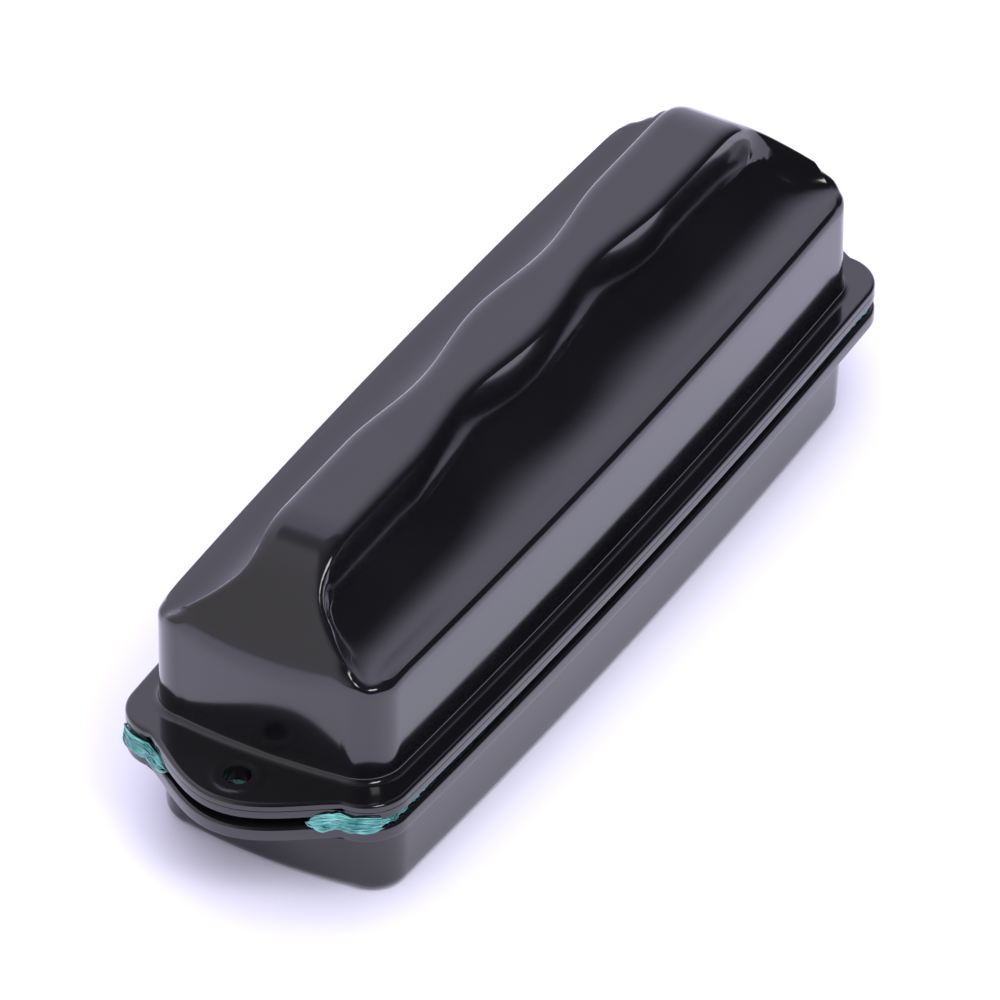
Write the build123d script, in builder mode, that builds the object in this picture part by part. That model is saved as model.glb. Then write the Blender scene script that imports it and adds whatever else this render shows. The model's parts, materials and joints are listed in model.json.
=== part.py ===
from build123d import *
import math
import os

os.makedirs("parts", exist_ok=True)

# A two-part magnetic glass cleaner, standing on the back of its scrubber half, in millimetres.
# +X runs along its length, +Y across it and +Z up through the glass side of both halves.
# The origin is the middle of the face it stands on.

# ---- Overall size of the handle block ----
block_half_length = 51.6
block_end_width = 28.4
block_side_bow = 0.9  # how far each side bows out between the ends
block_mid_width = block_end_width + 2 * block_side_bow

# ---- Outline shared by the two flanges, which have a rounded ear for the tether at each end ----
flange_end_margin = 2.6  # from the block's end to the line of the flange's corners
flange_side_margin = 2.5  # from the block's side to the flange's edge, at the ends
flange_side_bow = 1.0
corner_line = block_half_length + flange_end_margin
flange_end_width = block_end_width + 2 * flange_side_margin
flange_mid_width = flange_end_width + 2 * flange_side_bow
ear_reach = 5.8  # how far an ear stands out past that line
ear_fullness = 0.58  # power of the ear's bell curve: lower is fuller
flange_corner = 5.0  # radius seen from above
ear_points = 13  # points of the spline across one ear
tether_hole = 3.0  # diameter
tether_inset = 4.3  # hole centre back from the ear's tip

# ---- Heights, from the floor up ----
tub_height = 11.05
face_plate = 1.6  # thickness of the scrubber half's closing plate
pad_glue = 0.1  # adhesive film under each pad
scrub_pad_thick = 0.8
felt_thick = 0.85
felt_recess = 0.5  # how deep the felt sits in the handle half's base plate
base_plate = 0.9
shell_flange = 0.9
wall_rise = 11.7  # from the flange to the lip above the side wall
ridge_rise = 11.1  # from the lip to the top of the finger ridge

# ---- Handle block ----
block_corner = 4.4
block_end_bow = 0.6
shell_wall = 2.0
hip_run = 10.2  # length of each end slope, seen from above
ridge_half_length = block_half_length - hip_run
ridge_width = 8.6
hip_bulge = 1.3  # how far each end slope stands proud of a flat one
finger_pitch = 26.4  # from one finger bump to the next
finger_depth = 1.2  # how far each finger hollow cuts into the ridge's flank
scoop_stations = 27  # cross-sections along a finger scoop
scoop_end_setback = 8.1  # from the block's end to where the ridge's flank begins to sweep out
scoop_end_start = block_half_length - scoop_end_setback
scoop_end_run = 7.7
scoop_end_power = 2.3  # higher sweeps later and more sharply
scoop_end_ledge = 1.2  # left between the flank's top and the lip where the sweep ends
cutter_margin = 4.0  # how far the scoop's cutting shape stands clear of the block
ridge_slot_wall = 2.2  # wall left each side of the hollow inside the ridge
roof = 2.2  # plastic left above the hollow

# ---- Scrubber tub ----
tub_end_setback = 3.2  # from the line of the flange's corners
tub_side_setback = 1.9  # from the flange's edge, at the ends
tub_side_bow = 0.95
tub_half_length = corner_line - tub_end_setback
tub_end_width = flange_end_width - 2 * tub_side_setback
tub_mid_width = tub_end_width + 2 * tub_side_bow
tub_corner = 4.6
tub_end_bow = 0.9
tub_draft = 3.0  # degrees
tub_wall = 2.6
tub_floor = 1.8
tub_bottom_fillet = 1.6
gasket_width = 1.0
gasket_depth = 0.6
gasket_inset = 0.8  # from the tub's outer face to the gasket

# ---- Magnets and what holds them ----
magnet_count = 4
magnet_length = 21.0
magnet_width = 20.0
magnet_thick = 6.0
frame_rib = 1.2
frame_height = 4.0
magnet_clearance = 0.2
yoke_thick = 1.4
yoke_corner = 1.5
magnet_chamfer = 0.4

# ---- Pads ----
scrub_pad_end_setback = 0.7  # from the line of the flange's corners
scrub_pad_side_setback = 0.6  # from the flange's edge, at the ends
scrub_pad_length = 2 * (corner_line - scrub_pad_end_setback)
scrub_pad_width = flange_end_width - 2 * scrub_pad_side_setback
scrub_pad_corner = 3.5
scrub_pad_shift = -0.6  # the pad sits a little towards the -X end
glue_setback = 1.0  # of the scouring pad's film from the pad's edge
felt_end_setback = 4.7
felt_side_setback = 2.9
felt_length = 2 * (corner_line - felt_end_setback)
felt_width = flange_end_width - 2 * felt_side_setback
felt_corner = 2.0
pad_clearance = 0.15  # round the felt in its recess

# ---- Heights worked out from the ones above ----
z_face_low = tub_height
z_face_top = z_face_low + face_plate
z_scrub_low = z_face_top + pad_glue
z_scrub_top = z_scrub_low + scrub_pad_thick
z_felt_low = z_scrub_top
z_felt_top = z_felt_low + felt_thick
z_base_low = z_felt_top + pad_glue - felt_recess
z_base_top = z_base_low + base_plate
z_flange_top = z_base_top + shell_flange
z_lip = z_flange_top + wall_rise
z_top = z_lip + ridge_rise
z_roof = z_lip - roof
frame_length = magnet_count * (magnet_length + 2 * magnet_clearance) + (magnet_count + 1) * frame_rib
frame_width = magnet_width + 2 * magnet_clearance + 2 * frame_rib
magnet_pitch = magnet_length + 2 * magnet_clearance + frame_rib
magnet_places = [(i - (magnet_count - 1) / 2) * magnet_pitch for i in range(magnet_count)]
tether_x = corner_line + ear_reach - tether_inset


def ear_edge(y):
    """Distance along X of the flange's end at a place across its width."""
    half = flange_end_width / 2 - flange_corner
    share = (1 + math.cos(math.pi * y / half)) / 2
    return corner_line + ear_reach * share ** ear_fullness


def flange_outline():
    """The flange's closed outline, inside a BuildLine."""
    half = flange_end_width / 2
    straight = half - flange_corner
    shoulder = corner_line - flange_corner
    steps = [straight * (2 * i / (ear_points - 1) - 1) for i in range(ear_points)]
    for side in (1, -1):
        ear = [(side * ear_edge(y), side * y) for y in steps]
        Spline(*ear, tangents=[(0, side), (0, side)])
        start = (side * corner_line, side * straight)
        RadiusArc(start, (side * shoulder, side * half), -flange_corner)
        ThreePointArc(
            (side * shoulder, side * half),
            (0, side * flange_mid_width / 2),
            (-side * shoulder, side * half),
        )
        RadiusArc(
            (-side * shoulder, side * half),
            (-side * corner_line, side * straight),
            -flange_corner,
        )


def bowed_outline(half_length, end_width, mid_width, corner, bow):
    """A rounded rectangle whose sides and ends bow outwards, inside a BuildLine."""
    half = end_width / 2
    end = half_length - bow
    for side in (1, -1):
        ThreePointArc(
            (side * end, -side * (half - corner)),
            (side * half_length, 0),
            (side * end, side * (half - corner)),
        )
        RadiusArc(
            (side * end, side * (half - corner)),
            (side * (end - corner), side * half),
            -corner,
        )
        ThreePointArc(
            (side * (end - corner), side * half),
            (0, side * mid_width / 2),
            (-side * (end - corner), side * half),
        )
        RadiusArc(
            (-side * (end - corner), side * half),
            (-side * end, side * (half - corner)),
            -corner,
        )


def block_outline(inset):
    """The handle block's outline, moved in by an inset."""
    bowed_outline(
        block_half_length - inset,
        block_end_width - 2 * inset,
        block_mid_width - 2 * inset,
        block_corner - inset,
        block_end_bow,
    )


def tub_outline(inset):
    """The tub's outline at its rim, moved in by an inset."""
    bowed_outline(
        tub_half_length - inset,
        tub_end_width - 2 * inset,
        tub_mid_width - 2 * inset,
        tub_corner - inset,
        tub_end_bow,
    )


def block_half_width(x):
    """Half the handle block's width at a station, following its bowed side."""
    reach = block_half_length - block_end_bow - block_corner
    bow = (block_mid_width - block_end_width) / 2
    return block_mid_width / 2 - bow * (x / reach) ** 2


def ridge_edge(x):
    """How far out the ridge's edge is at a station, if the ridge kept its height to the ends."""
    edge = ridge_width / 2
    sweep = min(max((abs(x) - scoop_end_start) / scoop_end_run, 0), 1) ** scoop_end_power
    return edge + (block_half_width(x) - scoop_end_ledge - edge) * sweep


def scoop_profile(x):
    """The scoop's points at a station, from the ridge's edge out to the lip, as (y, z)."""
    hollow = (1 - math.cos(2 * math.pi * x / finger_pitch)) / 2 if abs(x) < finger_pitch else 0
    edge = ridge_edge(x)
    lip = block_half_width(x)
    # shares of the way from the ridge's edge to the lip and of the drop between them,
    # and how far a finger hollow moves each point, as a share of its depth
    shape = [
        (0.00, 0.00, -1.0),
        (0.02, 0.30, -1.0),
        (0.05, 0.56, -1.0),
        (0.14, 0.72, -0.8),
        (0.27, 0.86, -0.5),
        (0.41, 0.935, -0.2),
        (0.55, 0.958, 0.0),
        (0.85, 0.94, 0.0),
        (1.00, 1.00, 0.0),
    ]
    points = []
    for across, down, move in shape:
        y = edge + (lip - edge) * across + move * finger_depth * hollow
        points.append((y, z_top - ridge_rise * down))
    return points


# ---- Handle half: the moulded grip ----
outer_reach = block_half_length + cutter_margin
with BuildPart() as finger_scoop:
    # one scoop's cutting shape, lofted through cross-sections along the block
    for i in range(scoop_stations):
        # the cross-sections are closer together towards the ends
        x = outer_reach * math.sin(math.pi / 2 * (2 * i / (scoop_stations - 1) - 1))
        profile = scoop_profile(x)
        edge, lip = profile[0], profile[-1]
        outside = block_mid_width / 2 + cutter_margin
        above = z_top + cutter_margin
        with BuildSketch(Plane.YZ.offset(x)):
            with BuildLine():
                Line((edge[0], above), edge)
                Spline(*profile)
                Line(lip, (outside, lip[1]))
                Line((outside, lip[1]), (outside, above))
                Line((outside, above), (edge[0], above))
            make_face()
    loft()

with BuildPart() as handle_shell:
    with BuildSketch(Plane.XY.offset(z_flange_top)):
        with BuildLine():
            block_outline(0)
        make_face()
    extrude(amount=wall_rise + ridge_rise)
    # end slopes, each a little fuller than flat
    with BuildSketch(Plane.XZ):
        with BuildLine():
            for side in (1, -1):
                top_end = (side * ridge_half_length, z_top)
                low_end = (side * block_half_length, z_lip)
                run = block_half_length - ridge_half_length
                slant = math.hypot(run, ridge_rise)
                middle = (
                    side * ((ridge_half_length + block_half_length) / 2 + hip_bulge * ridge_rise / slant),
                    (z_top + z_lip) / 2 + hip_bulge * run / slant,
                )
                ThreePointArc(top_end, middle, low_end)
                Line(low_end, (side * block_half_length, z_flange_top))
            Line((-ridge_half_length, z_top), (ridge_half_length, z_top))
            Line((-block_half_length, z_flange_top), (block_half_length, z_flange_top))
        make_face()
    extrude(amount=block_mid_width, both=True, mode=Mode.INTERSECT)
    add(finger_scoop.part, mode=Mode.SUBTRACT)
    add(finger_scoop.part.mirror(Plane.XZ), mode=Mode.SUBTRACT)
    # flange with its tether ears
    with BuildSketch(Plane.XY.offset(z_base_top)):
        with BuildLine():
            flange_outline()
        make_face()
    extrude(amount=shell_flange)
    # hollow for the magnets, and the slot up inside the ridge
    with BuildSketch(Plane.XY.offset(z_base_top)):
        with BuildLine():
            block_outline(shell_wall)
        make_face()
    extrude(amount=z_roof - z_base_top, mode=Mode.SUBTRACT)
    with BuildSketch(Plane.XY.offset(z_roof)):
        SlotOverall(2 * (ridge_half_length - roof), ridge_width - 2 * ridge_slot_wall)
    extrude(amount=z_top - roof - z_roof, mode=Mode.SUBTRACT)
    # tether holes
    with Locations((tether_x, 0, z_base_top), (-tether_x, 0, z_base_top)):
        Cylinder(tether_hole / 2, 2 * shell_flange, mode=Mode.SUBTRACT)

handle_shell.part.label = "handle_shell"
export_step(handle_shell.part, "parts/handle_shell.step")

# ---- Handle half: the plate that closes the grip, with a recess for the felt ----
with BuildPart() as handle_base_plate:
    with BuildSketch(Plane.XY.offset(z_base_low)):
        with BuildLine():
            flange_outline()
        make_face()
    extrude(amount=base_plate)
    with BuildSketch(Plane.XY.offset(z_base_low)):
        RectangleRounded(
            felt_length + 2 * pad_clearance,
            felt_width + 2 * pad_clearance,
            felt_corner + pad_clearance,
        )
    extrude(amount=felt_recess, mode=Mode.SUBTRACT)
    with Locations((tether_x, 0, z_base_low), (-tether_x, 0, z_base_low)):
        Cylinder(tether_hole / 2, 2 * base_plate, mode=Mode.SUBTRACT)

handle_base_plate.part.label = "handle_base_plate"
export_step(handle_base_plate.part, "parts/handle_base_plate.step")

# ---- Handle half: felt pad and its adhesive film ----
with BuildPart() as handle_felt_glue:
    with BuildSketch(Plane.XY.offset(z_felt_top)):
        RectangleRounded(felt_length, felt_width, felt_corner)
    extrude(amount=pad_glue)

handle_felt_glue.part.label = "handle_felt_glue"
export_step(handle_felt_glue.part, "parts/handle_felt_glue.step")

with BuildPart() as handle_felt_pad:
    with BuildSketch(Plane.XY.offset(z_felt_low)):
        RectangleRounded(felt_length, felt_width, felt_corner)
    extrude(amount=felt_thick)

handle_felt_pad.part.label = "handle_felt_pad"
export_step(handle_felt_pad.part, "parts/handle_felt_pad.step")

# ---- Scrubber half: the tub that floats, with a groove for its seal ----
with BuildPart() as scrubber_tub:
    with BuildSketch(Plane.XY.offset(tub_height)):
        with BuildLine():
            tub_outline(0)
        make_face()
    extrude(amount=-tub_height, taper=tub_draft)
    fillet(scrubber_tub.faces().sort_by(Axis.Z)[0].edges(), tub_bottom_fillet)
    with BuildSketch(Plane.XY.offset(tub_floor)):
        with BuildLine():
            tub_outline(tub_wall)
        make_face()
    extrude(amount=tub_height - tub_floor, mode=Mode.SUBTRACT)
    with BuildSketch(Plane.XY.offset(tub_height - gasket_depth)):
        with BuildLine():
            tub_outline(gasket_inset)
        make_face()
        with BuildLine():
            tub_outline(gasket_inset + gasket_width)
        make_face(mode=Mode.SUBTRACT)
    extrude(amount=gasket_depth, mode=Mode.SUBTRACT)

scrubber_tub.part.label = "scrubber_tub"
export_step(scrubber_tub.part, "parts/scrubber_tub.step")

with BuildPart() as scrubber_gasket:
    with BuildSketch(Plane.XY.offset(tub_height - gasket_depth)):
        with BuildLine():
            tub_outline(gasket_inset)
        make_face()
        with BuildLine():
            tub_outline(gasket_inset + gasket_width)
        make_face(mode=Mode.SUBTRACT)
    extrude(amount=gasket_depth)

scrubber_gasket.part.label = "scrubber_gasket"
export_step(scrubber_gasket.part, "parts/scrubber_gasket.step")

# ---- Scrubber half: the plate that closes the tub, with the same ears as the handle's flange ----
with BuildPart() as scrubber_face_plate:
    with BuildSketch(Plane.XY.offset(z_face_low)):
        with BuildLine():
            flange_outline()
        make_face()
    extrude(amount=face_plate)
    with Locations((tether_x, 0, z_face_low), (-tether_x, 0, z_face_low)):
        Cylinder(tether_hole / 2, 2 * face_plate, mode=Mode.SUBTRACT)

scrubber_face_plate.part.label = "scrubber_face_plate"
export_step(scrubber_face_plate.part, "parts/scrubber_face_plate.step")

# ---- Scrubber half: scouring pad and its adhesive film ----
with BuildPart() as scrubber_pad_glue:
    with BuildSketch(Plane.XY.offset(z_face_top)):
        with Locations((scrub_pad_shift, 0)):
            RectangleRounded(
                scrub_pad_length - 2 * glue_setback,
                scrub_pad_width - 2 * glue_setback,
                scrub_pad_corner - glue_setback,
            )
    extrude(amount=pad_glue)

scrubber_pad_glue.part.label = "scrubber_pad_glue"
export_step(scrubber_pad_glue.part, "parts/scrubber_pad_glue.step")

with BuildPart() as scrubber_pad:
    with BuildSketch(Plane.XY.offset(z_scrub_low)):
        with Locations((scrub_pad_shift, 0)):
            RectangleRounded(scrub_pad_length, scrub_pad_width, scrub_pad_corner)
    extrude(amount=scrub_pad_thick)

scrubber_pad.part.label = "scrubber_pad"
export_step(scrubber_pad.part, "parts/scrubber_pad.step")

# ---- Both halves: magnets in a moulded frame, a steel yoke behind them and a foam block ----
# each half's stack grows away from the glass: up in the handle, down in the scrubber
stacks = {
    "handle": (z_base_top, 1, z_roof - z_base_top),
    "scrubber": (z_face_low, -1, z_face_low - tub_floor),
}
for half, (z_glass_side, away, room) in stacks.items():
    z_magnet_far = z_glass_side + away * magnet_thick
    z_yoke_far = z_magnet_far + away * yoke_thick

    with BuildPart() as magnet_frame:
        with BuildSketch(Plane.XY.offset(z_glass_side)):
            Rectangle(frame_length, frame_width)
            with Locations(*[(x, 0) for x in magnet_places]):
                Rectangle(
                    magnet_length + 2 * magnet_clearance,
                    magnet_width + 2 * magnet_clearance,
                    mode=Mode.SUBTRACT,
                )
        extrude(amount=away * frame_height)
    magnet_frame.part.label = half + "_magnet_frame"
    export_step(magnet_frame.part, "parts/" + half + "_magnet_frame.step")

    for number, x in enumerate(magnet_places, start=1):
        with BuildPart() as magnet:
            with BuildSketch(Plane.XY.offset(z_glass_side)):
                with Locations((x, 0)):
                    Rectangle(magnet_length, magnet_width)
            extrude(amount=away * magnet_thick)
            chamfer(magnet.edges().filter_by(Axis.Z), magnet_chamfer)
        magnet.part.label = half + "_magnet_" + str(number)
        export_step(magnet.part, "parts/" + half + "_magnet_" + str(number) + ".step")

    with BuildPart() as yoke:
        with BuildSketch(Plane.XY.offset(z_magnet_far)):
            RectangleRounded(frame_length, frame_width, yoke_corner)
        extrude(amount=away * yoke_thick)
    yoke.part.label = half + "_yoke"
    export_step(yoke.part, "parts/" + half + "_yoke.step")

    with BuildPart() as foam:
        with BuildSketch(Plane.XY.offset(z_yoke_far)):
            RectangleRounded(frame_length, frame_width, yoke_corner)
        extrude(amount=away * (room - magnet_thick - yoke_thick))
    foam.part.label = half + "_foam"
    export_step(foam.part, "parts/" + half + "_foam.step")
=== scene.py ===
# Looks for a two-part magnetic glass cleaner: camera, studio, and the visible pieces of both halves.
import math
import json
import random

import bmesh
import bpy
from mathutils import Matrix, Vector, noise


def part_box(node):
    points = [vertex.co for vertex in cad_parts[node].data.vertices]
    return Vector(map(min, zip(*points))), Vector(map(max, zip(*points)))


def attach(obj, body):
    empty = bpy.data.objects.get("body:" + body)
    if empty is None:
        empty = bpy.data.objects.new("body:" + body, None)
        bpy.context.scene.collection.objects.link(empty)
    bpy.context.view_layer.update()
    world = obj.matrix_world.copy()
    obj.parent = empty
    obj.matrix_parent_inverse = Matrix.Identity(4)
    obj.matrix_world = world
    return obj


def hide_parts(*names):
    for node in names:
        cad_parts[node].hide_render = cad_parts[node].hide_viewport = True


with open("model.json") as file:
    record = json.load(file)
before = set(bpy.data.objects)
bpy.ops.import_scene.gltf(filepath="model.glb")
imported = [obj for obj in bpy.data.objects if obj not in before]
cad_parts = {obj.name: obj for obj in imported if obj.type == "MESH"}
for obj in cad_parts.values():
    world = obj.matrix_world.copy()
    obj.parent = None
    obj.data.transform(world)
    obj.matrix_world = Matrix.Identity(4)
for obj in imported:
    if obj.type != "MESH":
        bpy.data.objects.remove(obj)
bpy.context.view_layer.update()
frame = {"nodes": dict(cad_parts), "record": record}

MM = 0.001

# ---------------------------------------------------------------- sizes, in millimetres
CORNER_LINE = 54.2  # from the middle to the straight part of each flange end
EAR_REACH = 5.8  # of the tether ear beyond that line
EAR_FULLNESS = 0.58  # below 1 for an ear that is fuller than a cosine
FLANGE_MID = 35.4
FLANGE_END = 33.4
FLANGE_CORNER = 5.0
FLANGE_THICK = 0.9  # the shell's own flange, without the base plate
FLANGE_EDGE_R = 0.42
TETHER_SETBACK = 4.3  # from the ear's tip to the tether hole's centre
TETHER_X = CORNER_LINE + EAR_REACH - TETHER_SETBACK
HOLE_R = 1.5
HOLE_SIDES = 40

BLOCK_HALF = 51.6
BLOCK_END = 28.4
BLOCK_MID = 30.2
BLOCK_CORNER = 4.4
BLOCK_BOW = 0.6
RIDGE_HALF = 41.4
RIDGE_WIDTH = 8.6
RIDGE_RISE = 11.1  # from the block's lip to the ridge's top
HIP_BULGE = 1.3  # of each end slope beyond a straight one
FINGER_PITCH = 26.4
FINGER_DEPTH = 1.2
END_START = 43.5  # where the ridge begins to spread out to the block's width
END_RUN = 7.7
END_POWER = 2.3
END_LEDGE = 1.2  # left between the spread ridge and the block's side
SHELL_WALL = 2.0
ROOF = 2.2  # from the block's lip down to the hollow's ceiling

TUB_HALF = 51.0
TUB_END = 29.6
TUB_MID = 31.5
TUB_CORNER = 4.6
TUB_BOW = 0.9
TUB_DRAFT = math.tan(math.radians(3.0))
TUB_WALL = 2.6
TUB_FLOOR = 1.8
TUB_BOTTOM_R = 1.6
TUB_LIP_R = 0.25
GROOVE_DEPTH = 0.6
GROOVE_OUTER, GROOVE_INNER = 0.8, 1.8  # from the tub's outer face

SHARP = 32  # degrees between faces from which an edge stays crisp


def height(node, top):
    """A CAD node's lowest or highest z, in millimetres."""
    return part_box(node)[1 if top else 0].z / MM


Z_TUB = height("scrubber_tub", True)
Z_FACE_LOW = height("scrubber_face_plate", False)
Z_FACE = height("scrubber_face_plate", True)
Z_PAD_LOW = height("scrubber_pad", False)
Z_PAD = height("scrubber_pad", True)
Z_FELT_LOW = height("handle_felt_pad", False)
Z_FELT = height("handle_felt_pad", True)
Z_BASE_LOW = height("handle_base_plate", False)
Z_BASE = height("handle_base_plate", True)
Z_TOP = height("handle_shell", True)
Z_FLANGE = Z_BASE + FLANGE_THICK
Z_LIP = Z_TOP - RIDGE_RISE


# ---------------------------------------------------------------- small helpers
def lerp(a, b, t):
    """The value at share t of the way from a to b."""
    return a + (b - a) * t


def smooth(t):
    """A share from 0 to 1 that starts and ends gently."""
    t = min(max(t, 0.0), 1.0)
    return t * t * (3 - 2 * t)


def soft_min(a, b, k):
    """The lower of two heights, rounded over where they meet."""
    h = max(k - abs(a - b), 0.0) / k
    return min(a, b) - h * h * k / 4


def make_object(name, bm, body, material, sharp=SHARP):
    """Makes a piece of a mesh drawn in millimetres, and sets its body and material slot."""
    bmesh.ops.recalc_face_normals(bm, faces=bm.faces)
    for v in bm.verts:
        v.co = v.co * MM
    mesh = bpy.data.meshes.new(name)
    bm.to_mesh(mesh)
    bm.free()
    mesh.polygons.foreach_set("use_smooth", [True] * len(mesh.polygons))
    mesh.set_sharp_from_angle(angle=math.radians(sharp))
    mesh.materials.append(material)
    piece = bpy.data.objects.new(name, mesh)
    bpy.context.scene.collection.objects.link(piece)
    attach(piece, body)
    return piece


# ---------------------------------------------------------------- outlines
# Every outline is a loop of the same number of points, starting at the -X end's
# -Y corner: along the -Y side, round the +X end, back along the +Y side, and round the -X end.
SIDE = 164  # spans along a long side
CORNER = 15  # spans round a corner
END = 92  # spans across an end
LEAST_CORNER = 0.4
BOW_FADE = 5  # rows over which an end's bow dies away


def ear_edge(y):
    """The x of the flange's end at a place across it: a rounded ear."""
    half = FLANGE_END / 2 - FLANGE_CORNER
    share = (1 + math.cos(math.pi * min(abs(y) / half, 1))) / 2
    return CORNER_LINE + EAR_REACH * share**EAR_FULLNESS


def grid_outline(end_width, mid_width, corner, end_x):
    """Rows of (x, half width) from the -X corners to the +X ones, which reach end_x."""
    w_end = end_width / 2
    centre_x = end_x - corner
    rows = []
    for i in range(CORNER + 1):
        a = math.pi / 2 * i / CORNER
        rows.append((-centre_x - corner * math.cos(a), w_end - corner + corner * math.sin(a)))
    for i in range(1, SIDE):
        x = lerp(-centre_x, centre_x, i / SIDE)
        w = mid_width / 2 - (mid_width - end_width) / 2 * (x / centre_x) ** 2
        rows.append((x, w))
    for i in range(CORNER + 1):
        a = math.pi / 2 * (1 - i / CORNER)
        rows.append((centre_x + corner * math.cos(a), w_end - corner + corner * math.sin(a)))
    return rows


def loop_from(rows, end_edge):
    """The closed loop of (x, y) of an outline's rows, with each end's own curve."""
    w0 = rows[0][1]
    loop = [(x, -w) for x, w in rows]
    loop += [(end_edge(lerp(-w0, w0, j / END)), lerp(-w0, w0, j / END)) for j in range(1, END)]
    loop += [(x, w) for x, w in reversed(rows)]
    loop += [(-end_edge(lerp(w0, -w0, j / END)), lerp(w0, -w0, j / END)) for j in range(1, END)]
    return loop


def block_rows(inset=0.0):
    return grid_outline(
        BLOCK_END - 2 * inset, BLOCK_MID - 2 * inset,
        BLOCK_CORNER - inset, BLOCK_HALF - BLOCK_BOW - inset,
    )


def block_loop(inset=0.0):
    w0 = BLOCK_END / 2 - BLOCK_CORNER
    return loop_from(block_rows(inset), lambda y: BLOCK_HALF - inset - BLOCK_BOW * (y / w0) ** 2)


def tub_loop(inset=0.0):
    rows = grid_outline(
        TUB_END - 2 * inset, TUB_MID - 2 * inset,
        TUB_CORNER - min(inset, TUB_CORNER - LEAST_CORNER), TUB_HALF - TUB_BOW - inset,
    )
    w0 = rows[0][1]
    return loop_from(rows, lambda y: TUB_HALF - inset - TUB_BOW * (y / w0) ** 2)


def flange_loop():
    rows = grid_outline(FLANGE_END, FLANGE_MID, FLANGE_CORNER, CORNER_LINE)
    return loop_from(rows, ear_edge)


def pad_loop(length, width, corner):
    rows = grid_outline(width, width, corner, length / 2)
    return loop_from(rows, lambda y: length / 2)


def inset_loop(loop, amount):
    """A loop moved inwards along its own normals."""
    n = len(loop)
    out = []
    for i in range(n):
        ax, ay = loop[i - 1]
        bx, by = loop[(i + 1) % n]
        tx, ty = bx - ax, by - ay
        size = math.hypot(tx, ty)
        out.append((loop[i][0] - ty / size * amount, loop[i][1] + tx / size * amount))
    return out


def flat(p, t, w):
    """Leaves a cap's inner point where it is."""
    return p


class Skin:
    """Builds a closed surface out of rings that share the outlines' point order."""

    def __init__(self):
        self.bm = bmesh.new()
        self.last = None
        self.first = None

    def ring(self, points):
        ring = [self.bm.verts.new(p) for p in points]
        if self.last is not None:
            n = len(ring)
            for i in range(n):
                self.bm.faces.new((self.last[i], self.last[(i + 1) % n], ring[(i + 1) % n], ring[i]))
        else:
            self.first = ring
        self.last = ring

    def cap(self, ring, place):
        """Fills a ring with a grid; place(point, share, half width) moves each inner point."""
        rows = 2 * CORNER + SIDE + 1
        low = ring[:rows]
        right = ring[rows : rows + END - 1]
        high = list(reversed(ring[rows + END - 1 : 2 * rows + END - 1]))
        left = list(reversed(ring[2 * rows + END - 1 :]))
        grid = []
        for i in range(rows):
            if i == 0:
                line = [low[0]] + left + [high[0]]
            elif i == rows - 1:
                line = [low[-1]] + right + [high[-1]]
            else:
                a, b = low[i].co, high[i].co
                # an end bows outwards, and the bow dies away within the first rows
                near = math.exp(-min(i, rows - 1 - i) / BOW_FADE)
                edge = left if i < rows / 2 else right
                line = [low[i]]
                for j in range(1, END):
                    t = j / END
                    p = a.lerp(b, t)
                    bow = edge[j - 1].co.x - (low[0].co.x if i < rows / 2 else low[-1].co.x)
                    p.x += bow * near
                    line.append(self.bm.verts.new(place(p, t, b.y)))
                line.append(high[i])
            grid.append(line)
        for i in range(rows - 1):
            for j in range(END):
                self.bm.faces.new((grid[i][j], grid[i + 1][j], grid[i + 1][j + 1], grid[i][j + 1]))
        return grid


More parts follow.
